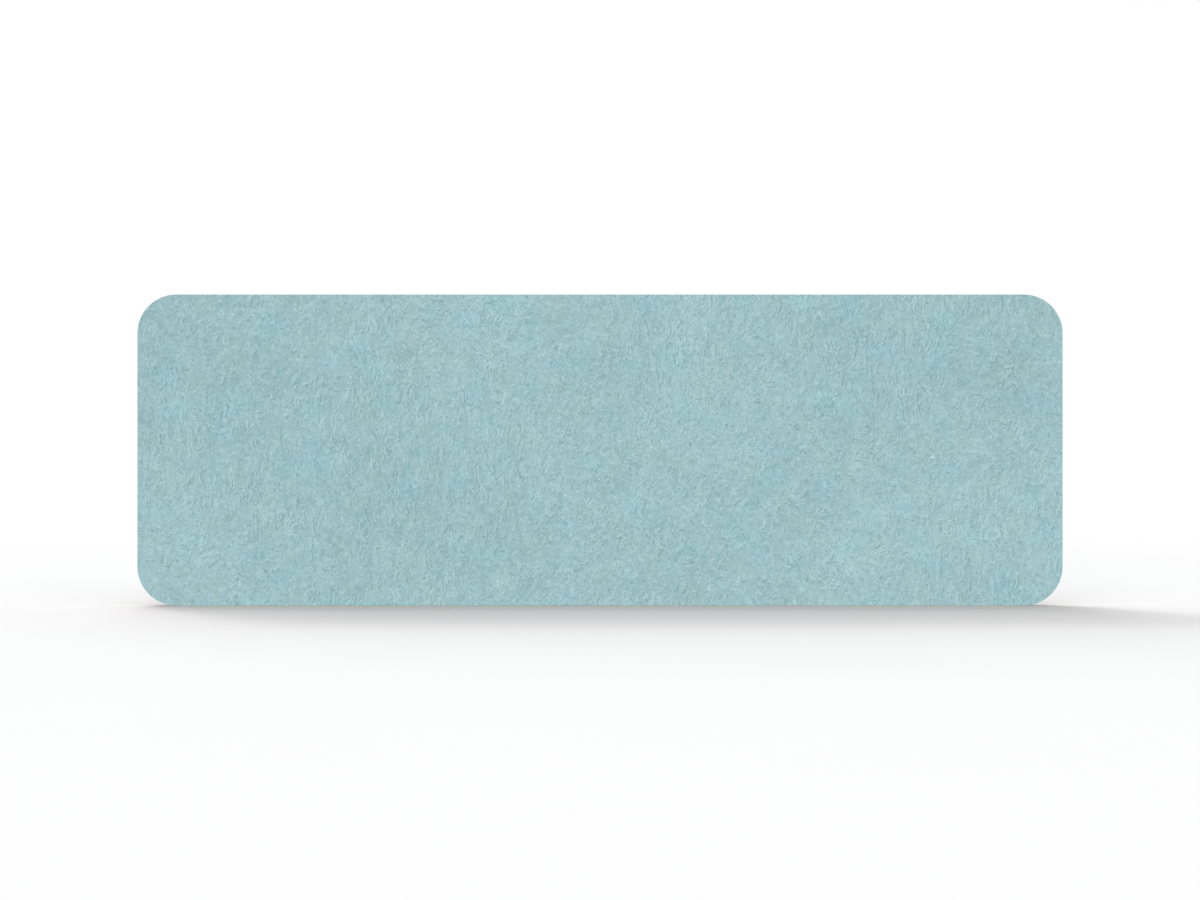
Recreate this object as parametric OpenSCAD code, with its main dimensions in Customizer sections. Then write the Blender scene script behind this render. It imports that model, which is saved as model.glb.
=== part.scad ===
// Acoustic divider screen: a long, low felt panel with round corners that stands on a table
// or on the floor. X runs along the panel, Y from its front to its back, Z is up.
// The origin is the middle of the panel's foot line, where its middle plane meets the floor.

/* [Panel] */
// Length of the panel
panel_w = 1190; // [900:1:1800]
// Height of the panel
panel_h = 400; // [300:1:600]
// Radius of the panel's four corners
corner_r = 50; // [20:1:90]
// Thickness of each felt face
face_t = 6; // [4.5:0.5:12]
// Width of the felt strip that closes the rim round the core
strip_w = 12; // [8:1:18]

/* [Core] */
// Thickness of the stiffening board, and of the steel sheet that lies in its plane
core_t = 3; // [2:0.5:5]
// Gap round the board, where it lies inside the strip
lay_gap = 0.2; // [0.1:0.1:0.5]
// Gap between a foot and the layers that are cut out for it
seat_gap = 0.3; // [0.2:0.1:0.6]

/* [Feet] */
// Distance from the panel's end to the middle of a foot
foot_inset = 195; // [150:1:300]
// Width of a foot
foot_w = 70; // [56:1:90]
// Reach of a foot behind the panel's back face
foot_reach = 170; // [130:1:260]
// Height of a foot's tongue above the floor
tongue_h = 125; // [100:1:200]
// Radius of the tongue's top corners
tongue_r = 12; // [4:1:20]
// Radius of the corners at the tail of a foot
tail_r = 16; // [6:1:20]
// Inner radius of the bend
bend_r = 3; // [2:0.5:5]

/* [Table fixing] */
// Radius of the two holes in each foot for fixing it to a table
fix_hole_r = 2.75; // [2:0.25:3.5]
// Distance between the two holes of a foot
fix_pitch = 80; // [40:1:100]

/* [Fasteners] */
// Radius of the screw's thread
screw_r = 2; // [1.5:0.25:2.5]
// Radius of the screw's countersunk head
head_r = 4; // [3.5:0.25:4.5]
// Width across the flats of the hexagon socket
socket_w = 2.5; // [1.5:0.25:2.75]
// Depth of the hexagon socket
socket_d = 1.6; // [1:0.1:2]
// Radius of the cup washer
cup_r = 7.5; // [6:0.25:8.5]
// Height of the cup washer
cup_h = 3; // [2.8:0.1:4]
// Radius of the nut's barrel in the steel
barrel_r = 3; // [2.75:0.25:3.5]
// Radius of the nut's flange
flange_r = 4.5; // [4:0.25:5.5]
// Thickness of the nut's flange
flange_t = 2; // [1:0.1:2.5]
// Distance from the tongue's sides and top to a screw
screw_edge = 15; // [12:1:18]
// Height of the lower two screws above the floor
screw_low = 45; // [35:1:55]
// Gap at threads, press fits and conical seats
thread_gap = 0.05; // [0.02:0.01:0.1]

/* [Pads] */
// Thickness of the rubber pads
pad_t = 1.5; // [1:0.25:2.5]
// Width of a rubber pad
pad_w = 14; // [10:1:16]
// Radius of a pad's corners
pad_r = 4; // [1:0.5:4.5]
// Distance from the edges of the foot to a pad
pad_inset = 4; // [3:0.5:6]

/* [Hidden] */

$fn = 96;
// Run of a cut past the face that it leaves
over = 1;
// Flat lip between the cone of a cup washer and its dome
cup_lip = 0.4;
// Height of the cup washer's upright edge
cup_edge = 0.8;
// Depth of the nut's lead-in chamfer, and of the one on the screw's tip
lead = 0.4;

panel_t = 2 * face_t + core_t;
back_y = panel_t / 2;
core_back_y = core_t / 2;
core_front_y = -core_t / 2;
foot_x = panel_w / 2 - foot_inset;
slot_w = foot_w + 2 * seat_gap;

// The bend turns round a line behind the tongue and above the plate
sheet_t = core_t;
plate_top = pad_t + sheet_t;
bend_y = core_back_y + bend_r;
bend_z = plate_top + bend_r;
tail_y = back_y + foot_reach;
fix_y = back_y + foot_reach / 2;

// The screw runs from the washer's rim to the nut's front face
flange_front_y = core_front_y - flange_t;
rim_y = back_y + cup_h;
head_h = head_r - screw_r;
socket_r = socket_w / 2 / cos(30);

// Places of the three screws on a tongue, seen from the front
screw_places = [
    [-(foot_w / 2 - screw_edge), screw_low],
    [foot_w / 2 - screw_edge, screw_low],
    [0, tongue_h - screw_edge]
];

felt = [0.62, 0.75, 0.77];
hardboard = [0.45, 0.32, 0.21];
powder = [0.86, 0.87, 0.86];
rubber = [0.13, 0.13, 0.14];
zinc = [0.74, 0.75, 0.76];

// A flat outline with round corners that stands on the X axis, w wide and h high
module rounded_outline(w, h, r) {
    translate([-w / 2, r]) square([w, h - 2 * r]);
    translate([-w / 2 + r, 0]) square([w - 2 * r, h]);
    for (x = [-1, 1], y = [r, h - r])
        translate([x * (w / 2 - r), y]) circle(r);
}

// The same, with only the two corners away from the X axis rounded
module tongue_outline(w, h, r) {
    translate([-w / 2, 0]) square([w, h - r]);
    translate([-w / 2 + r, 0]) square([w - 2 * r, h]);
    for (x = [-1, 1])
        translate([x * (w / 2 - r), h - r]) circle(r);
}

// Stands an outline up as a board that reaches from y0 to y1
module board(y0, y1) {
    translate([0, y1, 0]) rotate([90, 0, 0]) linear_extrude(y1 - y0) children();
}

// The outline of the whole panel
module panel_outline() {
    rounded_outline(panel_w, panel_h, corner_r);
}

// The area inside the rim strip, drawn in by gap all round
module inside_outline(gap) {
    inset = strip_w + gap;
    translate([0, inset]) rounded_outline(panel_w - 2 * inset, panel_h - 2 * inset, corner_r - inset);
}

// An upright cut for each foot, open at the bottom, w wide and h high
module foot_cuts(w, h) {
    for (side = [-1, 1])
        translate([side * foot_x - w / 2, -over]) square([w, h + over]);
}

// Puts its children at the three screws of one foot, with their axis along +Y
module at_screws(side) {
    for (p = screw_places)
        translate([side * foot_x + p[0], 0, p[1]]) rotate([-90, 0, 0]) children();
}

// Felt face that is seen from the front, with blind pockets for the nuts' flanges
module front_felt() {
    pocket_t = flange_t + seat_gap;
    color(felt) difference() {
        board(-back_y, core_front_y) panel_outline();
        for (side = [-1, 1])
            at_screws(side) translate([0, 0, core_front_y - pocket_t])
                cylinder(r = flange_r + seat_gap, h = pocket_t + over);
    }
}

// Felt face at the back, notched over each foot and drilled for the screws
module rear_felt() {
    color(felt) difference() {
        board(core_back_y, back_y) difference() {
            panel_outline();
            foot_cuts(slot_w, bend_z + seat_gap);
        }
        for (side = [-1, 1])
            at_screws(side) translate([0, 0, core_back_y - over])
                cylinder(r = screw_r + seat_gap, h = face_t + 2 * over);
    }
}

// Stiffening board between the felts, cut out for the feet's tongues
module core_board() {
    color(hardboard) board(core_front_y, core_back_y) difference() {
        inside_outline(lay_gap);
        foot_cuts(slot_w, tongue_h + seat_gap);
    }
}

// Felt strip that closes the rim, from one foot up and over the top to the other
module rim_strip() {
    reach = foot_x + slot_w / 2;
    color(felt) board(core_front_y, core_back_y) difference() {
        panel_outline();
        inside_outline(0);
        translate([-reach, -over]) square([2 * reach, strip_w + 2 * over]);
    }
}

// Felt strip along the foot line, between the feet
module bottom_strip() {
    reach = foot_x - slot_w / 2;
    color(felt) board(core_front_y, core_back_y) translate([-reach, 0]) square([2 * reach, strip_w]);
}

// Quarter ring that joins the tongue to the plate, seen from the end
module bend_profile() {
    difference() {
        circle(bend_r + sheet_t);
        circle(bend_r);
        translate([0, -2 * bend_z]) square(4 * bend_z);
        translate([-2 * bend_z, 0]) square(4 * bend_z);
    }
}

// One foot, folded from a steel sheet: a tongue inside the panel and a plate behind it
module foot(side) {
    color(powder) translate([side * foot_x, 0, 0]) difference() {
        union() {
            translate([0, 0, bend_z])
                board(core_front_y, core_back_y) tongue_outline(foot_w, tongue_h - bend_z, tongue_r);
            translate([-foot_w / 2, bend_y, bend_z])
                rotate([90, 0, 90]) linear_extrude(foot_w) bend_profile();
            translate([0, bend_y, pad_t])
                linear_extrude(sheet_t) tongue_outline(foot_w, tail_y - bend_y, tail_r);
        }
        for (p = screw_places)
            translate([p[0], core_front_y - over, p[1]])
                rotate([-90, 0, 0]) cylinder(r = barrel_r, h = sheet_t + 2 * over);
        for (y = [-1, 1])
            translate([0, fix_y + y * fix_pitch / 2, pad_t - over])
                cylinder(r = fix_hole_r, h = sheet_t + 2 * over);
    }
}

// Two rubber pads under the long sides of one foot
module foot_pads(side) {
    start = bend_y + pad_inset;
    length = tail_y - pad_inset - start;
    color(rubber)
        for (x = [-1, 1])
            translate([side * foot_x + x * (foot_w / 2 - pad_inset - pad_w / 2), start, 0])
                linear_extrude(pad_t) rounded_outline(pad_w, length, pad_r);
}

// Clinch nuts of one foot: a barrel pressed into the steel and a flange in front of it
module clinch_nuts(side) {
    bore_r = screw_r + thread_gap;
    press_r = barrel_r - thread_gap;
    color(zinc) at_screws(side) rotate_extrude() polygon([
        [bore_r + lead, flange_front_y],
        [flange_r - lead, flange_front_y],
        [flange_r, flange_front_y + lead],
        [flange_r, core_front_y],
        [press_r, core_front_y],
        [press_r, core_back_y],
        [bore_r, core_back_y],
        [bore_r, flange_front_y + lead]
    ]);
}

// Cup washers of one foot: a dome with a cone inside that the screw's head sits in
module cup_washers(side) {
    seat_r = head_r + thread_gap;
    bore_r = screw_r + seat_gap;
    dome_h = cup_h - cup_edge;
    color(zinc) at_screws(side) rotate_extrude() difference() {
        intersection() {
            translate([bore_r, back_y]) square([cup_r - bore_r, cup_h]);
            union() {
                translate([0, back_y]) square([cup_r, cup_edge]);
                translate([0, back_y + cup_edge]) square([seat_r + cup_lip, dome_h]);
                translate([seat_r + cup_lip, back_y + cup_edge])
                    intersection() {
                        circle(dome_h);
                        square(dome_h);
                    }
            }
        }
        polygon([
            [0, rim_y + over],
            [seat_r + over, rim_y + over],
            [seat_r, rim_y],
            [0, rim_y - seat_r]
        ]);
    }
}

// Countersunk socket screws of one foot
module screws(side) {
    color(zinc) at_screws(side) difference() {
        rotate_extrude() polygon([
            [0, flange_front_y],
            [screw_r - lead, flange_front_y],
            [screw_r, flange_front_y + lead],
            [screw_r, rim_y - head_h],
            [head_r, rim_y],
            [0, rim_y]
        ]);
        translate([0, 0, rim_y - socket_d]) cylinder(r = socket_r, h = socket_d + over, $fn = 6);
    }
}

front_felt();
rear_felt();
core_board();
rim_strip();
bottom_strip();
foot(-1);  // left_foot
foot(1);  // right_foot
foot_pads(-1);  // left_foot_pads
foot_pads(1);  // right_foot_pads
clinch_nuts(-1);  // left_clinch_nuts
clinch_nuts(1);  // right_clinch_nuts
cup_washers(-1);  // left_cup_washers
cup_washers(1);  // right_cup_washers
screws(-1);  // left_screws
screws(1);  // right_screws
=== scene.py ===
# %% [markdown]
# # A felt divider screen
# This notebook dresses a long, low acoustic panel: two felt faces laminated over a stiff board,
# standing on two folded steel feet. The construction is already fixed. We load it, look up where
# each piece lies, and then give every visible surface its real softness, fibre and finish.
#
# Everything is in metres. X runs along the panel, Y from its front to its back, and Z is up.

# %% Load the fixed frame
import math

import bmesh
import bpy
from mathutils import Matrix, Vector, noise


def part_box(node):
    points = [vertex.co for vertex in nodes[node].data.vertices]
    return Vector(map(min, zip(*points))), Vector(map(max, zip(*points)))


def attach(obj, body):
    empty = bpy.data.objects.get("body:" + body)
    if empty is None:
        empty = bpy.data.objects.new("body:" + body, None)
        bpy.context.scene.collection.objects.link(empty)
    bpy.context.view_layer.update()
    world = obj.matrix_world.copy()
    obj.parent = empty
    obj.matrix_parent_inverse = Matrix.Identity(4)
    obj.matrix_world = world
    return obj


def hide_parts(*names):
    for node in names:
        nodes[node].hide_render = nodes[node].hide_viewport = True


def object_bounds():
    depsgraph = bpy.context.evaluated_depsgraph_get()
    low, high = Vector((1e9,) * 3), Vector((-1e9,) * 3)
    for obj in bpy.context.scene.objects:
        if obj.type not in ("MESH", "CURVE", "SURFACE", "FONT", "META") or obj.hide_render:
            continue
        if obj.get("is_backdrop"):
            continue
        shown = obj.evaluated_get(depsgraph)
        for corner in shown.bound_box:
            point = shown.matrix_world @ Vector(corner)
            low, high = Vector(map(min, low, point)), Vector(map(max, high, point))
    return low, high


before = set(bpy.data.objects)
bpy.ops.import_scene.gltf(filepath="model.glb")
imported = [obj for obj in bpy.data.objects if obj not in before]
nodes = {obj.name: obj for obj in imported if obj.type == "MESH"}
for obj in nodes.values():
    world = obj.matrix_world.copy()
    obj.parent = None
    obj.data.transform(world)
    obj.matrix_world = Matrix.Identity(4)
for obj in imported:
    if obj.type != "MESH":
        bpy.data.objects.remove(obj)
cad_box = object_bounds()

print("pieces of the frame:", ", ".join(sorted(nodes)))
print("whole object:", [round(high - low, 4) for low, high in zip(*cad_box)])

# %% [markdown]
# ## Where the layers lie
# The felt, the board and the feet are stacked along Y. Reading their boxes keeps the soft pieces
# exactly where the hard ones are. A box can't tell a corner's radius or an edge's softness, so
# such a size gets a name where it is first needed.

# %% Read the layers
front_low, front_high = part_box("front_felt")
rear_low, rear_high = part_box("rear_felt")
foot_low, foot_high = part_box("right_foot")

half_length = front_high.x
panel_height = front_high.z
foot_middle = (foot_low.x + foot_high.x) / 2
foot_half_width = (foot_high.x - foot_low.x) / 2
steel = rear_low.y - front_high.y
print("felt:", round(front_high.y - front_low.y, 4), " steel and core:", round(steel, 4))

# %% [markdown]
# ## Small helpers for materials
# A procedural material is a graph of nodes. `put` adds one node, fills its sockets and wires the
# inputs that are other nodes' outputs. The rest are short names for the nodes used most.

# %% Place a node
def put(tree, kind, sockets=None, **settings):
    """Adds a shader node; a socket's value is a number, a colour or another node's output."""
    node = tree.nodes.new("ShaderNode" + kind)
    for name, value in settings.items():
        setattr(node, name, value)
    for name, value in (sockets or {}).items():
        if isinstance(value, bpy.types.NodeSocket):
            tree.links.new(value, node.inputs[name])
        else:
            node.inputs[name].default_value = value
    return node


def calc(tree, operation, a, b=0.0, clamp=False):
    """Arithmetic on two values."""
    node = put(tree, "Math", {0: a, 1: b}, operation=operation, use_clamp=clamp)
    return node.outputs[0]


def total(tree, *values):
    """The sum of several values."""
    result = values[0]
    for value in values[1:]:
        result = calc(tree, "ADD", result, value)
    return result


def about(tree, value, gain, middle=0.5):
    """The value's distance from its middle, times a gain."""
    return calc(tree, "MULTIPLY", calc(tree, "SUBTRACT", value, middle), gain)


def spread(tree, value, low, high, to_low=0.0, to_high=1.0):
    """Maps low..high to a new range and stops at its ends."""
    sockets = {0: value, 1: low, 2: high, 3: to_low, 4: to_high}
    return put(tree, "MapRange", sockets).outputs[0]


# %% Coordinates and noise
def shift(tree, at, by):
    """Moves coordinates by a fixed step or by another vector."""
    return put(tree, "VectorMath", {0: at, 1: by}, operation="ADD").outputs[0]


def speckle(tree, at, scale, detail=0.0, roughness=0.5):
    """Noise between 0 and 1, about 0.5, with cells of 1 / scale metres."""
    sockets = {"Vector": at, "Scale": scale, "Detail": detail, "Roughness": roughness}
    return put(tree, "TexNoise", sockets).outputs["Fac"]


def sway(tree, at, scale, reach):
    """A random vector that pushes coordinates up to about half of reach each way."""
    sockets = {"Vector": at, "Scale": scale, "Detail": 0.0}
    colour = put(tree, "TexNoise", sockets).outputs["Color"]
    middle = put(tree, "VectorMath", {0: colour, 1: (0.5, 0.5, 0.5)}, operation="SUBTRACT")
    push = put(tree, "VectorMath", {0: middle.outputs[0], "Scale": reach}, operation="SCALE")
    return push.outputs[0]


# %% Colours
def linear(red, green, blue):
    """The linear colour of one given in 8-bit steps, as a paint chart writes it."""
    def straighten(c):
        c = c / 255
        return c / 12.92 if c <= 0.04045 else ((c + 0.055) / 1.055) ** 2.4
    return (straighten(red), straighten(green), straighten(blue), 1.0)


def colour_steps(tree, value, *steps):
    """A colour ramp through (position, colour) steps."""
    node = put(tree, "ValToRGB", {0: value})
    ramp = node.color_ramp
    while len(ramp.elements) < len(steps):
        ramp.elements.new(0.5)
    for element, (position, colour) in zip(ramp.elements, steps):
        element.position = position
        element.color = colour
    return node.outputs[0]


def tinted(tree, colour, tint):
    """One colour multiplied by another."""
    layers = {0: 1.0, 6: colour, 7: tint}
    return put(tree, "Mix", layers, data_type="RGBA", blend_type="MULTIPLY").outputs[2]


print("a grey of 128 on the screen is", round(linear(128, 128, 128)[0], 3), "of white's light")

# %% Materials
def new_material(name):
    """An empty material with its tree, its Object coordinates and its gloss shader."""
    material = bpy.data.materials.new(name)
    material.use_nodes = True
    tree = material.node_tree
    tree.nodes.clear()
    at = put(tree, "TexCoord").outputs["Object"]
    shader = put(tree, "BsdfPrincipled")
    out = put(tree, "OutputMaterial")
    tree.links.new(shader.outputs[0], out.inputs["Surface"])
    return material, tree, at, shader


def raise_surface(tree, shader, height, depth, strength=1.0):
    """Lets the light see a height, depth metres tall, that the mesh is too coarse to hold."""
    sockets = {"Height": height, "Distance": depth, "Strength": strength}
    tree.links.new(put(tree, "Bump", sockets).outputs[0], shader.inputs["Normal"])


# %% [markdown]
# ## The felt
# Needled felt is a mat of short curled fibres. From a step away it shows as thin light strands
# with a shadow along one side, small dark pits and pale flecks between them, and faint clouds
# where the mat is thicker. Here the shadow beside each strand and the shade in the pits are
# painted into the felt's colour. A printed picture would repeat and would blur from near, so the
# mat is built up from noises instead:
#
# * a *strand* is the thin line along which a noise passes its middle value, stretched the way the
#   fibres lie and cut into short lengths by a second noise;
# * the mat was laid in sweeps, so its *lie* drifts: here the strands stand upright, there they
#   lean far over. A slow noise blends one kind of strand into the other;
# * hair-thin *fibres* cross over everything. They are the same lines, over four times as fine.

# %% Lines in a noise
line_sharpness = 5.5
break_scale = 0.7
break_range = (0.46, 0.66)


def strands(tree, at, lean, stretch, scale, place):
    """Short thin lines that lean by so many degrees from upright."""
    turn = (0.0, math.radians(lean), 0.0)
    sockets = {"Vector": at, "Location": place, "Rotation": turn, "Scale": (1.0, 1.0, 1 / stretch)}
    laid = put(tree, "Mapping", sockets).outputs[0]
    off_middle = calc(tree, "ABSOLUTE", calc(tree, "SUBTRACT", speckle(tree, laid, scale), 0.5))
    off_line = calc(tree, "MULTIPLY", off_middle, line_sharpness)
    line = calc(tree, "SUBTRACT", 1.0, off_line, clamp=True)
    breaks = speckle(tree, shift(tree, laid, (5.0, 5.0, 5.0)), scale * break_scale)
    return calc(tree, "MULTIPLY", line, spread(tree, breaks, *break_range))


# %% Strands and fibres of the felt
# Each kind has its lean in degrees, its stretch, its noise cells a metre and its place in the noise.
upright_strands = (-4, 2.5, 190, (3.1, 1.7, 0.9))
leaning_strands = (72, 5.4, 200, (1.1, 4.7, 2.9))
stray_strands = (30, 2.0, 225, (7.1, 0.7, 5.9))
rising_fibres = (-30, 4.5, 850, (2.3, 0.4, 6.1))
falling_fibres = (62, 4.5, 950, (4.9, 8.2, 1.3))
stray_share = 0.8
fibre_mean = 0.28

# Each curl has its noise cells a metre and its reach.
broad_curl = (60, 0.012)
tight_curl = (300, 0.0022)
fibre_curl = (420, 0.005)


def felt_height(tree, at, lie):
    """Height of the mat, and the curled coordinates that its strands follow."""
    curled = shift(tree, at, sway(tree, at, *broad_curl))
    curled = shift(tree, curled, sway(tree, at, *tight_curl))
    upright = strands(tree, curled, *upright_strands)
    leaning = strands(tree, curled, *leaning_strands)
    stray = calc(tree, "MULTIPLY", strands(tree, curled, *stray_strands), stray_share)
    main = put(tree, "Mix", {0: lie, 2: upright, 3: leaning}).outputs[0]
    return calc(tree, "ADD", main, stray), curled


def fine_fibres(tree, at):
    """Hair-thin fibres that cross each other, less their mean."""
    bent = shift(tree, at, sway(tree, at, *fibre_curl))
    rising = strands(tree, bent, *rising_fibres)
    falling = strands(tree, bent, *falling_fibres)
    return about(tree, calc(tree, "ADD", rising, falling), 1.0, fibre_mean)


print("a strand is about", round(1000 / upright_strands[2], 1), "mm from its neighbour")

# %% [markdown]
# Light gives the strands their body, and here that light is painted into the colour. The
# *painted relief light* is the strands' height less the same height a millimetre up or to the
# left, square to their lie: a painted highlight on one side of a strand and a painted shadow on
# the other, as if lit from above and the left. Pits and flecks are the lowest and highest spots
# of two finer noises, and the pits are painted darker as the shade in the felt's hollows. Left
# alone, all three have smooth rims like drops of paint, so the fine fibres roughen the painted
# relief light and fray the spots.

# %% Painted relief light, shaded pits and flecks
# A step square to upright strands, and one square to leaning strands.
beside_upright = (-0.0011, 0.0, 0.0004)
beside_leaning = (-0.0003, 0.0, 0.0015)

# The noise of a weak and of a strong patch, and how much of the painted relief light each shows.
patch_range = (0.36, 0.66, 0.15, 0.89)

# The noise where a spot begins and where it is full.
pit_range = (0.34, 0.22)
fleck_range = (0.66, 0.80)
fibre_fray = 0.16


def painted_strand_light(tree, at, height, lie, roughened):
    """Painted highlight on one side of a strand, painted shadow on the other, stronger in patches."""
    steps = {0: lie, 4: beside_upright, 5: beside_leaning}
    step = put(tree, "Mix", steps, data_type="VECTOR").outputs[1]
    beside, _ = felt_height(tree, shift(tree, at, step), lie)
    patches = spread(tree, speckle(tree, at, 28, 2, 0.6), *patch_range)
    painted_relief_light = calc(tree, "MULTIPLY", calc(tree, "SUBTRACT", height, beside), patches)
    return calc(tree, "MULTIPLY", painted_relief_light, roughened)


def shaded_pits_and_flecks(tree, curled, fibres):
    """Two masks of small spots, the shaded pits and the pale flecks, with rims frayed by the fibres.
    """
    fray = calc(tree, "MULTIPLY", fibres, fibre_fray)
    low_spots = total(tree, speckle(tree, curled, 360, 0.5), fray)
    elsewhere = shift(tree, curled, (0.3, 0.1, 0.2))
    high_spots = total(tree, speckle(tree, elsewhere, 400), fray)
    return spread(tree, low_spots, *pit_range), spread(tree, high_spots, *fleck_range)


print("relief is read", round(1000 * Vector(beside_upright).length, 1), "mm beside a strand")

# %% [markdown]
# All of it adds up to one tone, from the felt's dark to its light. Coarser than the strands are
# the tufts, clumps, clouds and sweeps of the mat, which are plain noises of growing size. Dyed
# wool is never one hue, so one slow drift tints it from cool to warm, and a second one from pink
# to green. The face and the cut edge are the same felt: the edge only looks a little darker.

# %% Tones of the felt
felt_dark = linear(136, 171, 176)
felt_middle = linear(158, 192, 197)
felt_light = linear(179, 212, 217)
cool_to_warm = [
    (0.32, (0.952, 0.999, 1.031, 1.0)),
    (0.43, (0.983, 1.011, 1.006, 1.0)),
    (0.50, (1.002, 0.993, 1.003, 1.0)),
    (0.57, (1.015, 1.010, 0.986, 1.0)),
    (0.68, (1.049, 0.988, 0.974, 1.0)),
]
pink_to_green = [(0.35, (1.0055, 0.998, 1.002, 1.0)), (0.65, (0.998, 1.013, 0.994, 1.0))]

# Each layer has how much it lightens the felt, below zero if it darkens it, and its own mean.
tone_layers = {
    "strands": (0.14, 0.3),
    "fibres": (0.12, 0.0),
    "tufts": (0.93, 0.5),
    # The pits' darkening is painted shade in the felt's hollows.
    "shaded_pits": (-1.15, 0.027),
    "flecks": (0.50, 0.05),
    "clumps": (0.38, 0.5),
    "clouds": (0.48, 0.5),
    "sweeps": (0.36, 0.5),
}
print("layers of tone:", ", ".join(tone_layers))

# %% Felt material
lie_place = (7.36, 0.0, 4.08)
lie_range = (0.45, 0.55)
fibre_roughness = 2.2
bump_depth = 0.0003


def felt(name, brightness):
    """Matted pale aqua felt."""
    material, tree, at, shader = new_material(name)
    lie = spread(tree, speckle(tree, shift(tree, at, lie_place), 3.2, 1), *lie_range)
    height, curled = felt_height(tree, at, lie)
    fibres = fine_fibres(tree, at)
    roughened = total(tree, 1.0, calc(tree, "MULTIPLY", fibres, fibre_roughness))
    # Painted highlight and shadow beside each strand, as if lit from above and the left.
    painted_relief_light = painted_strand_light(tree, at, height, lie, roughened)
    shaded_pits, flecks = shaded_pits_and_flecks(tree, curled, fibres)
    layers = {
        "strands": height,
        "fibres": fibres,
        "tufts": speckle(tree, curled, 130, 2, 0.6),
        "shaded_pits": shaded_pits,
        "flecks": flecks,
        "clumps": speckle(tree, at, 45, 1),
        "clouds": speckle(tree, at, 5, 6, 0.7),
        "sweeps": speckle(tree, at, 2.2, 1),
    }
    weighed = [about(tree, layers[layer], *weight) for layer, weight in tone_layers.items()]
    tone = total(tree, 0.5, painted_relief_light, *weighed)
    steps = [(0.0, felt_dark), (0.5, felt_middle), (1.0, felt_light)]
    steps = [(p, tuple(c * brightness for c in colour[:3]) + (1.0,)) for p, colour in steps]
    warmth = speckle(tree, shift(tree, at, (0.7, 0.2, 0.4)), 16, 5, 0.75)
    green = speckle(tree, shift(tree, at, (2.6, 0.9, 1.3)), 20, 3, 0.7)
    dyed = tinted(tree, colour_steps(tree, tone, *steps), colour_steps(tree, warmth, *cool_to_warm))
    dyed = tinted(tree, dyed, colour_steps(tree, green, *pink_to_green))
    tree.links.new(dyed, shader.inputs["Base Color"])
    shader.inputs["Roughness"].default_value = 0.95
    shader.inputs["Specular IOR Level"].default_value = 0.12
    mat = calc(tree, "MULTIPLY", height, roughened)
    raised = total(tree, mat, calc(tree, "MULTIPLY", fibres, 0.3), about(tree, shaded_pits, -0.5))
    raise_surface(tree, shader, raised, bump_depth, 0.5)
    return material


felt_face = felt("felt face", brightness=1.1)
felt_cut = felt("felt cut edge", brightness=0.99)
print("felt:", len(felt_face.node_tree.nodes), "nodes")

# %% [markdown]
# ## The other finishes
# The hidden hardware is plainer: a fine powder coat on the steel feet, bright zinc on the small
# fasteners, black rubber under the plates and brown hardboard inside. Each still gets the grain
# that the real one has. The board and the nuts are shut inside the panel, so they keep their
# fixed solids and only take on a finish here.

# %% Powder coat and zinc
def powder_coat():
    """Pale grey paint with the fine orange peel of a baked powder."""
    material, tree, at, shader = new_material("powder coat")
    peel = speckle(tree, at, 900, 2, 0.55)
    fleck = speckle(tree, at, 2600, 1)
    tone = total(tree, 0.5, about(tree, peel, 0.5), about(tree, fleck, 0.8))
    steps = [(0.2, linear(196, 198, 196)), (0.8, linear(208, 210, 208))]
    tree.links.new(colour_steps(tree, tone, *steps), shader.inputs["Base Color"])
    tree.links.new(spread(tree, peel, 0.3, 0.7, 0.42, 0.55), shader.inputs["Roughness"])
    raise_surface(tree, shader, peel, 0.00012, 0.6)
    return material


def zinc_plate():
    """Bright zinc with faint turning marks and a cloudy passivated film."""
    material, tree, at, shader = new_material("zinc plate")
    film = speckle(tree, at, 260, 3, 0.6)
    turning = speckle(tree, at, 5200, 1)
    blue, white, straw = linear(186, 189, 194), linear(203, 205, 207), linear(210, 206, 196)
    colour = colour_steps(tree, film, (0.3, blue), (0.55, white), (0.75, straw))
    tree.links.new(colour, shader.inputs["Base Color"])
    shader.inputs["Metallic"].default_value = 1.0
    rough = total(tree, 0.3, about(tree, film, 0.25), about(tree, turning, 0.12))
    tree.links.new(rough, shader.inputs["Roughness"])
    raise_surface(tree, shader, turning, 0.00001, 0.5)
    return material


coat = powder_coat()
zinc = zinc_plate()
print("finishes on metal:", coat.name, "and", zinc.name)

# %% Rubber and hardboard
def black_rubber():
    """Matt rubber, dusted a little in its pores."""
    material, tree, at, shader = new_material("black rubber")
    pores = speckle(tree, at, 1800, 2, 0.6)
    dust = speckle(tree, at, 140, 3, 0.6)
    tone = total(tree, 0.3, about(tree, dust, 0.8), about(tree, pores, 0.5))
    steps = [(0.1, linear(33, 33, 35)), (0.9, linear(62, 62, 63))]
    tree.links.new(colour_steps(tree, tone, *steps), shader.inputs["Base Color"])
    shader.inputs["Roughness"].default_value = 0.82
    raise_surface(tree, shader, pores, 0.00008, 0.7)
    return material


def hardboard():
    """Brown pressed fibre, flecked light and dark."""
    material, tree, at, shader = new_material("brown hardboard")
    fibre = speckle(tree, shift(tree, at, sway(tree, at, 200, 0.006)), 420, 3, 0.6)
    fleck = speckle(tree, at, 1500, 1)
    tone = total(tree, 0.5, about(tree, fibre, 1.4), about(tree, fleck, 0.5))
    steps = [(0.1, linear(88, 62, 42)), (0.5, linear(122, 90, 62)), (0.9, linear(156, 122, 90))]
    tree.links.new(colour_steps(tree, tone, *steps), shader.inputs["Base Color"])
    shader.inputs["Roughness"].default_value = 0.7
    raise_surface(tree, shader, fibre, 0.0001, 0.6)
    return material


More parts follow.
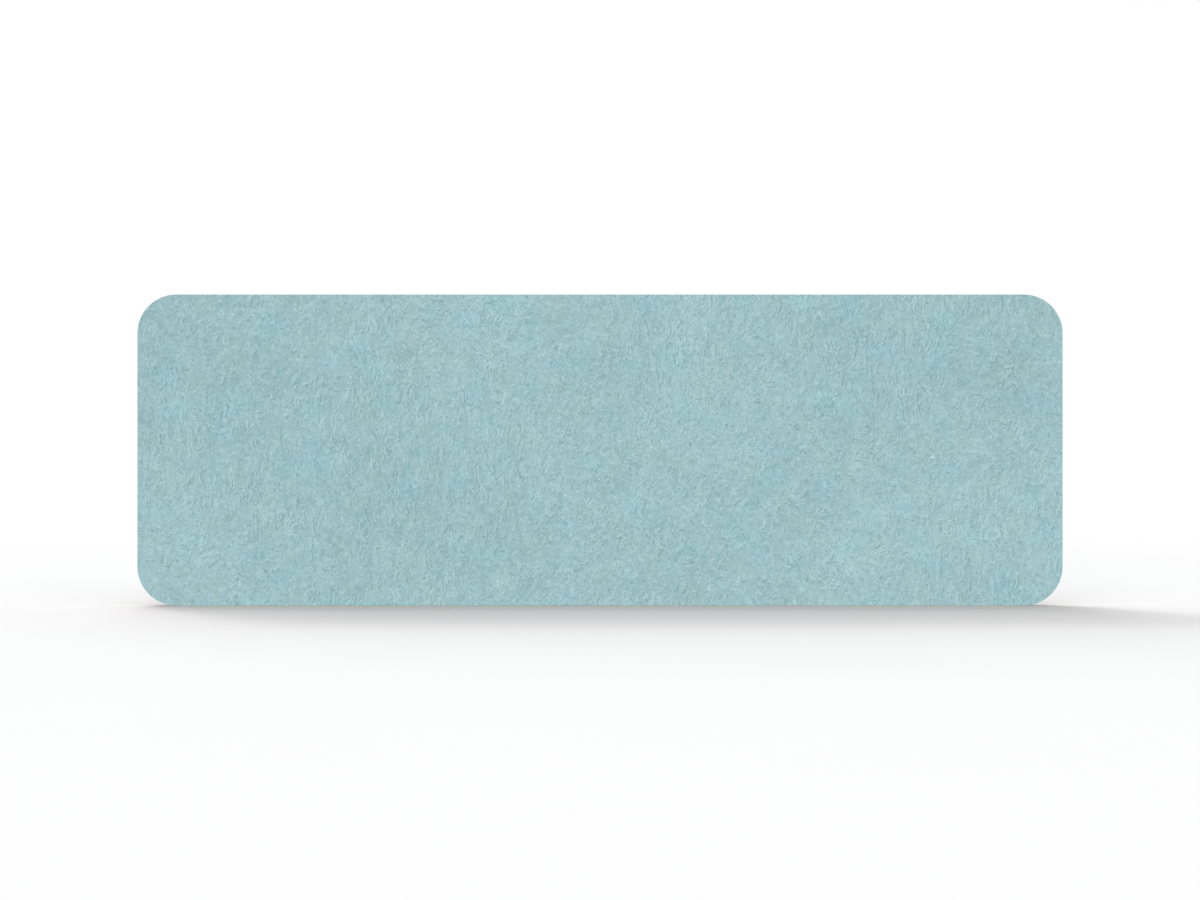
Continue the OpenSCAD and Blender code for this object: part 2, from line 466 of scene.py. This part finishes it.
rubber = black_rubber()
board = hardboard()
carried = {"core_board": board, "left_clinch_nuts": zinc, "right_clinch_nuts": zinc}
for name, finish in carried.items():
    nodes[name].data.materials.clear()
    nodes[name].data.materials.append(finish)
    print(name, "is finished in", finish.name)

# %% [markdown]
# ## The felt faces
# Each face is a thick sheet cut with a sharp blade: flat, with four round corners and a rim that
# stays soft. One flat face would do from afar, but felt seen along its surface is gently uneven,
# so the face needs many small squares to move.
#
# A grid has square corners. We get round ones by placing the grid's rows by angle in the corner
# zones and by drawing each row in to the outline's width at its height. Then the grid's own
# border is extruded in small steps, out and back along a quarter circle, to make the soft rim.

# %% Rows and rim of a board
corner_radius = 0.050
columns = 380
middle_rows = 96
corner_rows = 24
rows = middle_rows + 2 * corner_rows


def row_place(row, inset):
    """Height and half width of one row of the grid, for an outline drawn in by inset."""
    radius = corner_radius - inset
    upper = row > rows / 2
    step = rows - row if upper else row
    if step < corner_rows:
        angle = math.pi / 2 * step / corner_rows
        height = corner_radius - radius * math.cos(angle)
        half = half_length - corner_radius + radius * math.sin(angle)
        return (panel_height - height if upper else height), half
    share = (row - corner_rows) / middle_rows
    return corner_radius + share * (panel_height - 2 * corner_radius), half_length - inset


def rim_point(point, inset):
    """The point of the outline, drawn in by inset, that lies straight out from a rim point."""
    x = max(-half_length + corner_radius, min(half_length - corner_radius, point.x))
    z = max(corner_radius, min(panel_height - corner_radius, point.z))
    centre = Vector((x, point.y, z))
    return centre + (point - centre).normalized() * (corner_radius - inset)


def extrude_rim(bm, inset, y):
    """Extrudes the open border of a board to a new depth and inset."""
    border = [edge for edge in bm.edges if edge.is_boundary]
    made = bmesh.ops.extrude_edge_only(bm, edges=border)["geom"]
    for vert in made:
        if isinstance(vert, bmesh.types.BMVert):
            vert.co = rim_point(vert.co, inset)
            vert.co.y = y


print("each face is a grid of", columns, "by", rows)

# %% [markdown]
# A piece is built in a bmesh, Blender's workshop for faces and edges. The finished piece keeps its
# object at the origin and its place in the mesh, so that a pattern on Object coordinates stays
# put on it.

# %% From the workshop to the scene
def finish_mesh(bm, name, *materials, smooth=True):
    """Turns the workshop mesh into an object of the scene."""
    mesh = bpy.data.meshes.new(name)
    bm.to_mesh(mesh)
    bm.free()
    for material in materials:
        mesh.materials.append(material)
    for polygon in mesh.polygons:
        polygon.use_smooth = smooth
    piece = bpy.data.objects.new(name, mesh)
    bpy.context.scene.collection.objects.link(piece)
    return piece


# %% Build the felt boards
soft_edge = 0.0009
soft_edge_steps = 3
inner_edge = 0.00025
faces_out = 0.7


def felt_board(name, face_y, inner_y):
    """A felt sheet whose soft face is at face_y and whose glued face is at inner_y."""
    inward = 1 if inner_y > face_y else -1
    bm = bmesh.new()
    bmesh.ops.create_grid(bm, x_segments=columns, y_segments=rows, size=0.5)
    for vert in bm.verts:
        height, half = row_place(round((vert.co.y + 0.5) * rows), soft_edge)
        vert.co = Vector((vert.co.x * 2 * half, face_y, height))
    for step in range(1, soft_edge_steps + 1):
        angle = math.pi / 2 * step / soft_edge_steps
        inset = soft_edge * (1 - math.sin(angle))
        extrude_rim(bm, inset, face_y + inward * soft_edge * (1 - math.cos(angle)))
    extrude_rim(bm, 0.0, inner_y - inward * inner_edge)
    extrude_rim(bm, inner_edge, inner_y)
    border = [edge for edge in bm.edges if edge.is_boundary]
    bmesh.ops.holes_fill(bm, edges=border, sides=0)
    bmesh.ops.recalc_face_normals(bm, faces=bm.faces)
    for face in bm.faces:
        face.material_index = 0 if abs(face.normal.y) > faces_out else 1
    return finish_mesh(bm, name, felt_face, felt_cut)


front = felt_board("front_felt_face", front_low.y, front_high.y)
rear = felt_board("rear_felt_face", rear_high.y, rear_low.y)
print(front.name, "and", rear.name, "have", len(front.data.polygons), "faces each")

# %% [markdown]
# ## What is cut into the felt
# The rear face lets the feet out at the bottom and the screws in. The front face hides a blind
# pocket for each nut's flange, cut from its glued side, so that nothing shows in front. Boolean
# cutters do that: a box for each notch, no higher than the foot's bend, and a round bar for each
# hole. The frame gives their places: a node that holds several screws is taken apart to find the
# middle of each.

# %% Find the screws
merge_distance = 1e-6


def islands(node):
    """The middle of each separate solid in a node of the frame."""
    bm = bmesh.new()
    bm.from_mesh(nodes[node].data)
    bmesh.ops.remove_doubles(bm, verts=bm.verts, dist=merge_distance)
    left = set(bm.verts)
    middles = []
    while left:
        found = [left.pop()]
        for vert in found:
            near = [edge.other_vert(vert) for edge in vert.link_edges]
            fresh = [v for v in near if v in left]
            left.difference_update(fresh)
            found.extend(fresh)
        xs, ys, zs = ([v.co[axis] for v in found] for axis in range(3))
        middles.append(Vector([(min(c) + max(c)) / 2 for c in (xs, ys, zs)]))
    bm.free()
    return sorted(middles, key=lambda m: (m.x, m.z))


screw_spots = islands("left_screws") + islands("right_screws")
for spot in screw_spots:
    print("screw at", [round(c, 4) for c in spot])

# %% Cutters
def box_cutter(low, high):
    """A box between two corners."""
    bm = bmesh.new()
    place = Matrix.Translation((Vector(low) + Vector(high)) / 2)
    size = Matrix.Diagonal([b - a for a, b in zip(low, high)] + [1])
    bmesh.ops.create_cube(bm, size=1, matrix=place @ size)
    return finish_mesh(bm, "cutter", smooth=False)


def round_cutter(at, along, radius, length, segments=48):
    """A round bar with its middle at a point."""
    bm = bmesh.new()
    turn = Vector(along).to_track_quat("Z", "Y").to_matrix().to_4x4()
    bmesh.ops.create_cone(
        bm, segments=segments, radius1=radius, radius2=radius, depth=length,
        cap_ends=True, matrix=Matrix.Translation(at) @ turn,
    )
    return finish_mesh(bm, "cutter", smooth=False)


def apply_modifiers(piece):
    """Bakes the piece's modifiers into its mesh."""
    ready = piece.evaluated_get(bpy.context.evaluated_depsgraph_get())
    mesh = bpy.data.meshes.new_from_object(ready)
    piece.modifiers.clear()
    piece.data = mesh
    mesh.name = piece.name


def cut_away(piece, *cutters):
    """Removes the cutters' volume from the piece and throws the cutters away."""
    for cutter in cutters:
        cut = piece.modifiers.new("cut", "BOOLEAN")
        cut.object = cutter
        cut.solver = "EXACT"
    apply_modifiers(piece)
    for cutter in cutters:
        bpy.data.objects.remove(cutter)


# %% Notches and screw holes of the rear face
seat_gap = 0.0003
bend_inside = 0.003
thread_radius = 0.002
notch_reach = foot_half_width + seat_gap
notch_height = foot_low.z + steel + bend_inside + seat_gap
screw_hole_radius = thread_radius + seat_gap
through_felt = 0.04
overshoot = 0.002
along_y = (0, 1, 0)

cutters = []
for side in (-1, 1):
    low = (side * foot_middle - notch_reach, rear_low.y - overshoot, -overshoot)
    high = (side * foot_middle + notch_reach, rear_high.y + overshoot, notch_height)
    cutters.append(box_cutter(low, high))
for spot in screw_spots:
    middle = (spot.x, rear_low.y, spot.z)
    cutters.append(round_cutter(middle, along_y, screw_hole_radius, through_felt))
print("notches and holes:", len(cutters), " a notch is", round(notch_height * 1000, 2), "mm high")
cut_away(rear, *cutters)

# %% Nut pockets of the front face
pocket_radius = 0.0048
pocket_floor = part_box("right_clinch_nuts")[0].y - seat_gap
pocket_middle = (pocket_floor + front_high.y + overshoot) / 2
pocket_bar = front_high.y + overshoot - pocket_floor
pockets = [
    round_cutter((spot.x, pocket_middle, spot.z), along_y, pocket_radius, pocket_bar)
    for spot in screw_spots
]
print("pockets:", len(pockets), "each", round((front_high.y - pocket_floor) * 1000, 2), "mm deep")
cut_away(front, *pockets)

# %% [markdown]
# The soft faces are now made uneven. A smooth noise of lumps a centimetre or so wide moves their
# points in and out by a tenth of a millimetre. Then each piece is put on the one body of the
# object, its slot is printed, and the plain solids it stands for are hidden.

# %% Uneven faces
unevenness = 0.0003
lumps_per_metre = 70

# How fast finer lumps flatten, how much finer each kind is than the last, and how many kinds.
lump_kinds = (0.7, 2.1, 3)


def ruffle(piece, face_y):
    """Moves the points of the soft face in and out a little, but not the side of the rim."""
    for vert in piece.data.vertices:
        if abs(vert.co.y - face_y) < unevenness:
            lumps = noise.fractal(vert.co * lumps_per_metre, *lump_kinds)
            vert.co.y += lumps * unevenness * 0.5


ruffle(front, front_low.y)
ruffle(rear, rear_high.y)
depths = [vert.co.y - front_low.y for vert in front.data.vertices]
print("the front face now comes forward by up to", round(-min(depths) * 1000, 2), "mm")

# %% Tell a piece its place
def ride(piece, slot, *replaced):
    """The piece stands on the one body and hides the plain solids it stands for; the slot is only
    printed.
    """
    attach(piece, "root")
    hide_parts(*replaced)
    triangles = sum(len(p.vertices) - 2 for p in piece.data.polygons)
    print(f"{piece.name}: {triangles} triangles, on {slot}")


ride(front, "felt", "front_felt")
ride(rear, "felt", "rear_felt")

# %% [markdown]
# ## The rim between the faces
# A narrow felt strip closes the rim over the brown board. It starts beside one foot, turns up the
# end, runs over the top and comes down to the other foot. One small face is its cross section:
# extruding it makes the straight runs, and spinning it makes the corners.

# %% Run straight on and turn a corner
def run_on(bm, face, step, keep=False):
    """Extrudes a face straight on and returns the new end; keep leaves the old one as a cap."""
    made = bmesh.ops.extrude_face_region(bm, geom=[face], use_keep_orig=keep)["geom"]
    bmesh.ops.translate(bm, verts=[v for v in made if isinstance(v, bmesh.types.BMVert)], vec=step)
    if not keep:
        bmesh.ops.delete(bm, geom=[face], context="FACES_ONLY")
    return next(g for g in made if isinstance(g, bmesh.types.BMFace))


def turn_on(bm, face, centre, angle, axis=(0, 1, 0), steps=24):
    """Spins the last face round a centre and returns the new end."""
    made = bmesh.ops.spin(
        bm, geom=[face], cent=centre, axis=axis, angle=angle, steps=steps,
        use_merge=False, use_duplicate=False,
    )["geom_last"]
    bmesh.ops.delete(bm, geom=[face], context="FACES_ONLY")
    return next(g for g in made if isinstance(g, bmesh.types.BMFace))


def ease_edges(piece, width, segments=2, angle=40):
    """Rounds every sharp edge a little, as a real edge is, and keeps flat faces flat."""
    bevel = piece.modifiers.new("eased edges", "BEVEL")
    bevel.width = width
    bevel.segments = segments
    bevel.limit_method = "ANGLE"
    bevel.angle_limit = math.radians(angle)
    bevel.harden_normals = True
    apply_modifiers(piece)


# %% Draw the rim strip
strip_width = 0.012
quarter = math.pi / 2


def strip_section(bm, x):
    """The strip's cross section, standing on the foot line, as one face across X."""
    place = Matrix.Translation((x, (front_high.y + rear_low.y) / 2, strip_width / 2))
    turn = Matrix.Rotation(quarter, 4, "Y")
    size = Matrix.Diagonal((strip_width, steel, 1, 1))
    made = bmesh.ops.create_grid(bm, x_segments=1, y_segments=1, size=0.5, matrix=place @ turn @ size)
    return made["verts"][0].link_faces[0]


def rim_strip():
    """The strip from the left foot over the top to the right foot."""
    bm = bmesh.new()
    start = foot_middle + foot_half_width + seat_gap
    end = half_length - corner_radius
    top = panel_height - corner_radius
    face = strip_section(bm, -start)
    face = run_on(bm, face, (start - end, 0, 0))
    face = turn_on(bm, face, (-end, 0, corner_radius), quarter)
    face = run_on(bm, face, (0, 0, top - corner_radius))
    face = turn_on(bm, face, (-end, 0, top), quarter)
    face = run_on(bm, face, (2 * end, 0, 0))
    face = turn_on(bm, face, (end, 0, top), quarter)
    face = run_on(bm, face, (0, 0, corner_radius - top))
    face = turn_on(bm, face, (end, 0, corner_radius), quarter)
    run_on(bm, face, (start - end, 0, 0))
    bmesh.ops.holes_fill(bm, edges=[e for e in bm.edges if e.is_boundary], sides=0)
    bmesh.ops.remove_doubles(bm, verts=bm.verts, dist=merge_distance)
    bmesh.ops.recalc_face_normals(bm, faces=bm.faces)
    return finish_mesh(bm, "rim_felt_strip", felt_cut)


# %% Rim strip and bottom strip
strip = rim_strip()
ease_edges(strip, inner_edge)
ride(strip, "felt", "rim_strip")

lower = box_cutter(*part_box("bottom_strip"))
lower.name = "bottom_felt_strip"
lower.data.materials.append(felt_cut)
ease_edges(lower, inner_edge)
ride(lower, "felt", "bottom_strip")

# %% [markdown]
# ## The feet
# A foot is one piece of sheet steel: a tongue that stands inside the panel, a bend, and a plate
# on the floor. The same two moves as the strip's make it. The four outer corners are rounded
# while the sheet's edges are still few, the holes are cut, and every edge is eased as a coat of
# powder leaves it.

# %% Fold the sheet
tongue_corner = 0.012
tail_corner = 0.016
same_place = 1e-5


def corner_edges(bm, axis, level):
    """Short edges through the sheet, along an axis, at an outer end of the foot."""
    other = 2 if axis == 1 else 1
    found = []
    for edge in bm.edges:
        a, b = (v.co for v in edge.verts)
        along = abs(a[axis] - b[axis])
        at_end = all(abs(end[other] - level) < same_place for end in (a, b))
        if abs(along - steel) < same_place and at_end:
            found.append(edge)
    return found


def folded_sheet(low, high):
    """The sheet's mesh, folded from a tongue down through its bend into a plate."""
    middle = (low.x + high.x) / 2
    bend_z = low.z + steel + bend_inside
    bend_y = front_high.y + steel + bend_inside
    bm = bmesh.new()
    place = Matrix.Translation((middle, front_high.y + steel / 2, high.z))
    size = Matrix.Diagonal((high.x - low.x, steel, 1, 1))
    made = bmesh.ops.create_grid(bm, x_segments=1, y_segments=1, size=0.5, matrix=place @ size)
    face = made["verts"][0].link_faces[0]
    face = run_on(bm, face, (0, 0, bend_z - high.z), keep=True)
    face = turn_on(bm, face, (middle, bend_y, bend_z), quarter, axis=(1, 0, 0), steps=10)
    run_on(bm, face, (0, high.y - bend_y, 0))
    bmesh.ops.recalc_face_normals(bm, faces=bm.faces)
    for axis, level, radius in ((1, high.z, tongue_corner), (2, high.y, tail_corner)):
        bmesh.ops.bevel(
            bm, geom=corner_edges(bm, axis, level), offset=radius, segments=10,
            affect="EDGES", profile=0.5, material=-1,
        )
    return bm


print("a foot's corners are rounded by", 1000 * tongue_corner, "and", 1000 * tail_corner, "mm")

# %% Drill and ease the feet
fixing_radius = 0.00275
fixing_pitch = 0.080
nut_hole_radius = 0.003
through_steel = 0.02
coat_edge = 0.0004


def foot(name, side, node):
    """A folded steel foot with its holes."""
    low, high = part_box(node)
    piece = finish_mesh(folded_sheet(low, high), name, coat)
    holes = [
        round_cutter((spot.x, 0, spot.z), along_y, nut_hole_radius, through_steel)
        for spot in screw_spots if spot.x * side > 0
    ]
    middle_x = (low.x + high.x) / 2
    middle_y = (rear_high.y + high.y) / 2
    for step in (-fixing_pitch / 2, fixing_pitch / 2):
        at = (middle_x, middle_y + step, low.z)
        holes.append(round_cutter(at, (0, 0, 1), fixing_radius, through_steel))
    cut_away(piece, *holes)
    ease_edges(piece, coat_edge, 3)
    return piece


for side, name in ((-1, "left"), (1, "right")):
    ride(foot(name + "_folded_foot", side, name + "_foot"), "powder_coat", name + "_foot")

# %% [markdown]
# ## Pads under the feet
# Two rubber strips lie under each plate. A bevelled block is enough for them: the corners first,
# seen from above, then the small edges.

# %% Rubber pads
pad_width = 0.014
pad_corner = 0.004
pad_edge = 0.0003


def pad_pair(name, node):
    """The two rubber pads of one foot."""
    low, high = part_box(node)
    bm = bmesh.new()
    for x in (low.x + pad_width / 2, high.x - pad_width / 2):
        place = Matrix.Translation((x, (low.y + high.y) / 2, (low.z + high.z) / 2))
        size = Matrix.Diagonal((pad_width, high.y - low.y, high.z - low.z, 1))
        bmesh.ops.create_cube(bm, size=1, matrix=place @ size)
    upright = [e for e in bm.edges if abs(e.verts[0].co.z - e.verts[1].co.z) > pad_edge]
    bmesh.ops.bevel(
        bm, geom=upright, offset=pad_corner, segments=6, affect="EDGES", profile=0.5, material=-1,
    )
    piece = finish_mesh(bm, name, rubber)
    ease_edges(piece, pad_edge)
    return piece


for name in ("left", "right"):
    ride(pad_pair(name + "_rubber_pads", name + "_foot_pads"), "rubber", name + "_foot_pads")

# %% [markdown]
# ## Cup washers and screws
# Both are turned parts, so both are half profiles spun round the screw's axis. The profile is
# drawn as a chain of points. A washer's chain closes on itself round the bore; a screw's stays
# open and its two round ends are capped. The hexagon socket is cut afterwards.

# %% Profiles of the turned parts
washer_low, washer_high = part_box("left_cup_washers")
felt_y = washer_low.y
rim_y = washer_high.y
tip_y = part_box("left_screws")[0].y
cup_radius = 0.0075
head_radius = 0.004
tip_chamfer = 0.0004


def arc(centre, radius, start, end, steps):
    """Points of an arc in the profile's plane, from one angle to another in degrees."""
    angles = [math.radians(start + (end - start) * k / steps) for k in range(steps + 1)]
    return [(centre[0] + radius * math.cos(a), centre[1] + radius * math.sin(a)) for a in angles]


def washer_profile():
    """Dome outside, cone inside, with a rolled lip between them."""
    bore = screw_hole_radius
    seat = head_radius + 0.00005
    lip = 0.0002
    under = 0.0002
    shoulder = 0.0003
    edge = 0.0008
    dome = rim_y - felt_y - edge
    return (
        [(bore, felt_y), (cup_radius - under, felt_y)]
        + arc((cup_radius - under, felt_y + under), under, -60, 0, 2)
        + arc((cup_radius - shoulder, felt_y + edge - shoulder), shoulder, 0, 90, 3)
        + arc((seat + 2 * lip, felt_y + edge), dome, 12, 84, 8)
        + arc((seat + lip, rim_y - lip), lip, 80, 150, 3)
        + [(seat - lip / 2, rim_y - lip * 1.2), (bore, rim_y - seat + bore), (bore, felt_y)]
    )


def screw_profile():
    """Thread, countersunk cone and flat head, open at both ends for a flat cap."""
    soft = 0.00015
    return (
        [(thread_radius - tip_chamfer, tip_y), (thread_radius, tip_y + tip_chamfer)]
        + [(thread_radius, rim_y - head_radius + thread_radius)]
        + [(head_radius - soft / 2, rim_y - soft), (head_radius - soft, rim_y)]
    )


print("points of a washer:", len(washer_profile()), " points of a screw:", len(screw_profile()))

# %% Spin a profile
def turned(bm, spot, profile, steps=48):
    """Spins a chain of (radius, y) points round an axis along Y through the spot."""
    points = [bm.verts.new((spot.x + r, y, spot.z)) for r, y in profile]
    chain = [bm.edges.new(pair) for pair in zip(points, points[1:])]
    bmesh.ops.spin(
        bm, geom=points + chain, cent=(spot.x, 0, spot.z), axis=along_y,
        angle=2 * math.pi, steps=steps, use_merge=True, use_duplicate=False,
    )
    bmesh.ops.remove_doubles(bm, verts=bm.verts, dist=merge_distance)
    bmesh.ops.holes_fill(bm, edges=[e for e in bm.edges if e.is_boundary], sides=0)


def sharpen(piece, angle):
    """Smooth shading, apart from edges that turn by more than the angle."""
    bm = bmesh.new()
    bm.from_mesh(piece.data)
    for edge in bm.edges:
        edge.smooth = len(edge.link_faces) < 2 or edge.calc_face_angle(0) < math.radians(angle)
    bm.to_mesh(piece.data)
    bm.free()


# %% Turn the washers and screws
socket_across = 0.0025
socket_corner = socket_across / 2 / math.cos(math.radians(30))
socket_depth = 0.0016
crease = 35


def fasteners(name, profile, side, socketed):
    """The turned parts at one foot's three screws."""
    bm = bmesh.new()
    spots = [spot for spot in screw_spots if spot.x * side > 0]
    for spot in spots:
        turned(bm, spot, profile)
    bmesh.ops.recalc_face_normals(bm, faces=bm.faces)
    piece = finish_mesh(bm, name, zinc)
    if socketed:
        sockets = [
            round_cutter((s.x, rim_y, s.z), along_y, socket_corner, 2 * socket_depth, segments=6)
            for s in spots
        ]
        cut_away(piece, *sockets)
    sharpen(piece, crease)
    return piece


for side, name in ((-1, "left"), (1, "right")):
    washers = fasteners(name + "_turned_washers", washer_profile(), side, False)
    ride(washers, "zinc_plate", name + "_cup_washers")
    bolts = fasteners(name + "_socket_screws", screw_profile(), side, True)
    ride(bolts, "zinc_plate", name + "_screws")

# %% [markdown]
# ## Floor
# The studio has a plain white floor. Six small things make it behave as a photographed one does:
#
# * The floor's own shadow would darken the foot of the felt, which a studio avoids with white
#   cards. Here the floor is the card itself: light that bounces off it on to the object finds
#   plain white, while the camera sees the real floor with its shadow.
# * Pale felt throws its colour back at the floor. A camera balanced for white hides that, so the
#   floor near the object is painted with the opposite tint by as much.
# * Within a hand's breadth of the object the floor's colour carries a painted contact shade, a
#   little darker, as where any two things touch.
# * Behind the panel a painted shade makes it a little darker too, for the panel hides part of the
#   room's light.
# * Far away it turns fully white, so that it meets the white sky without a line.
# * From below, the floor is clear as glass, so the underside can be looked at. It also lies a
#   fifth of a millimetre low, as no two surfaces may share one plane.

# %% Colour of the floor
floor_white = 0.82
floor_fleck = 0.002
white = (1, 1, 1, 1)
against_bounce = (1.02, 0.905, 0.905, 1)
touch_shade = (0.855, 0.835, 0.80, 1)
back_shade = (0.83, 0.83, 0.83, 1)
bounce_reach = 0.5
touch_reach = 0.1
behind_reach = 0.08

# Where the fade to white begins and ends, and what it multiplies the floor by there.
far_fade = (1.4, 2.4, 1.0, 1.02)


def openness(tree, reach):
    """1 in the open, and down to a half right beside a tall thing nearer than the reach."""
    return put(tree, "AmbientOcclusion", {"Distance": reach}, samples=4).outputs["AO"]


def floor_colour(tree, at):
    """White, with the painted tint and the painted shades that lie round the object."""
    low, high = floor_white - floor_fleck, floor_white + floor_fleck
    steps = [(0.3, (low, low, low, 1)), (0.7, (high, high, high, 1))]
    colour = colour_steps(tree, speckle(tree, at, 3, 2), *steps)
    near = openness(tree, bounce_reach)
    touch = openness(tree, touch_reach)
    y = put(tree, "SeparateXYZ", {0: at}).outputs["Y"]
    near_behind = calc(tree, "MAXIMUM", near, spread(tree, y, 0.0, behind_reach, 1.0, 0.0))
    for place, shade in ((near, against_bounce), (touch, touch_shade), (near_behind, back_shade)):
        colour = tinted(tree, colour, colour_steps(tree, place, (0.5, shade), (1.0, white)))
    distance = put(tree, "VectorMath", {0: at}, operation="LENGTH").outputs["Value"]
    return tinted(tree, colour, spread(tree, distance, *far_fade))


print("where the floor touches the object, the contact shade leaves", touch_shade[0], "of its red")

# %% Floor
floor_reach = 40
floor_drop = 0.0002
card_white = 0.9


def white_floor():
    """A wide plain floor that keeps shadows but reflects plain white on to the object."""
    bm = bmesh.new()
    bmesh.ops.create_grid(bm, x_segments=1, y_segments=1, size=floor_reach)
    bmesh.ops.translate(bm, verts=bm.verts, vec=(0, 0, -floor_drop))
    material, tree, at, shader = new_material("white floor")
    tree.links.new(floor_colour(tree, at), shader.inputs["Base Color"])
    shader.inputs["Roughness"].default_value = 1.0
    shader.inputs["Specular IOR Level"].default_value = 0.0
    card = put(tree, "Emission", {"Color": white, "Strength": card_white})
    bounced = put(tree, "LightPath").outputs["Is Diffuse Ray"]
    both = put(tree, "MixShader", {0: bounced, 1: shader.outputs[0], 2: card.outputs[0]})
    below = put(tree, "NewGeometry").outputs["Backfacing"]
    clear = put(tree, "BsdfTransparent")
    floor_shader = put(tree, "MixShader", {0: below, 1: both.outputs[0], 2: clear.outputs[0]})
    out = next(node for node in tree.nodes if node.type == "OUTPUT_MATERIAL")
    tree.links.new(floor_shader.outputs[0], out.inputs["Surface"])
    material.cycles.emission_sampling = "NONE"
    return finish_mesh(bm, "floor", material, smooth=False)


floor = white_floor()
floor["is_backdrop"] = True
print("floor:", floor.name, "reflects", floor_white)

# %% [markdown]
# ## Light
# An even white sky lights everything, and a large soft lamp stands behind the panel on its left.
# The lamp has a brighter heart: the wide part makes the shadow that fades forward, and the heart
# draws the shadow's one clear line to the right. A weak low lamp in front, on the left, fills the
# face, as a reflector would. The sky's and the large lamp's strengths are divided by the floor's
# whiteness, so the floor stays as bright when its whiteness is changed.

# %% Sky and lamps
def white_sky(strength):
    """An even sky that the camera and reflections see as white."""
    world = bpy.data.worlds.new("sky")
    world.use_nodes = True
    tree = world.node_tree
    tree.nodes.clear()
    path = put(tree, "LightPath")
    seen = calc(tree, "MAXIMUM", path.outputs["Is Camera Ray"], path.outputs["Is Glossy Ray"])
    seen = calc(tree, "MAXIMUM", seen, path.outputs["Is Transmission Ray"])
    level = put(tree, "Mix", {0: seen, 2: strength, 3: 1.0}).outputs[0]
    sky = put(tree, "Background", {"Color": white, "Strength": level})
    out = put(tree, "OutputWorld")
    tree.links.new(sky.outputs[0], out.inputs["Surface"])
    bpy.context.scene.world = world


def soft_lamp(name, turn, height, strength, width):
    """A distant lamp, turned from straight behind towards the left; its angles are in degrees."""
    turn, height = math.radians(turn), math.radians(height)
    across = math.cos(height)
    towards = (math.sin(turn) * across, -math.cos(turn) * across, -math.sin(height))
    lamp = bpy.data.lights.new(name, "SUN")
    lamp.energy = strength
    lamp.angle = math.radians(width)
    holder = bpy.data.objects.new(name, lamp)
    holder.rotation_mode = "QUATERNION"
    holder.rotation_quaternion = Vector(towards).to_track_quat("-Z", "Y")
    bpy.context.scene.collection.objects.link(holder)
    print(name, "strength", round(strength, 3), "width", width, "degrees")


white_sky(strength=0.6 / floor_white)
soft_lamp("wide lamp", turn=43, height=47, strength=1.149 / floor_white, width=62)
soft_lamp("lamp heart", turn=43, height=49.7, strength=0.387 / floor_white, width=13)
soft_lamp("fill lamp", turn=150, height=12, strength=0.48, width=40)

# %% [markdown]
# ## Camera
# The camera stands a little over two metres off, square to the felt and level with its middle, so
# the panel shows as a true rectangle and only its front can be seen.

# %% Camera
camera_distance = 2.1428


def camera(distance, height):
    """Looks square at the panel."""
    data = bpy.data.cameras.new("camera")
    data.lens = 50
    data.sensor_width = 36
    data.clip_end = 200
    holder = bpy.data.objects.new("camera", data)
    holder.location = (0, front_low.y - distance, height)
    holder.rotation_euler = (math.pi / 2, 0, 0)
    bpy.context.scene.collection.objects.link(holder)
    bpy.context.scene.camera = holder
    print("camera at", [round(c, 4) for c in holder.location])


camera(camera_distance, panel_height / 2)
bpy.context.scene.view_settings.view_transform = "Standard"

# %% [markdown]
# ## Last look
# The visible model must keep the size of the fixed one, so how far each corner of the box has moved
# is printed.

# %% Compare the boxes and finish
shown_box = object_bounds()
for place, fixed, shown in zip(("low corner", "high corner"), cad_box, shown_box):
    print(place, "moved by", [round((b - a) * 1000, 2) for a, b in zip(fixed, shown)], "mm")
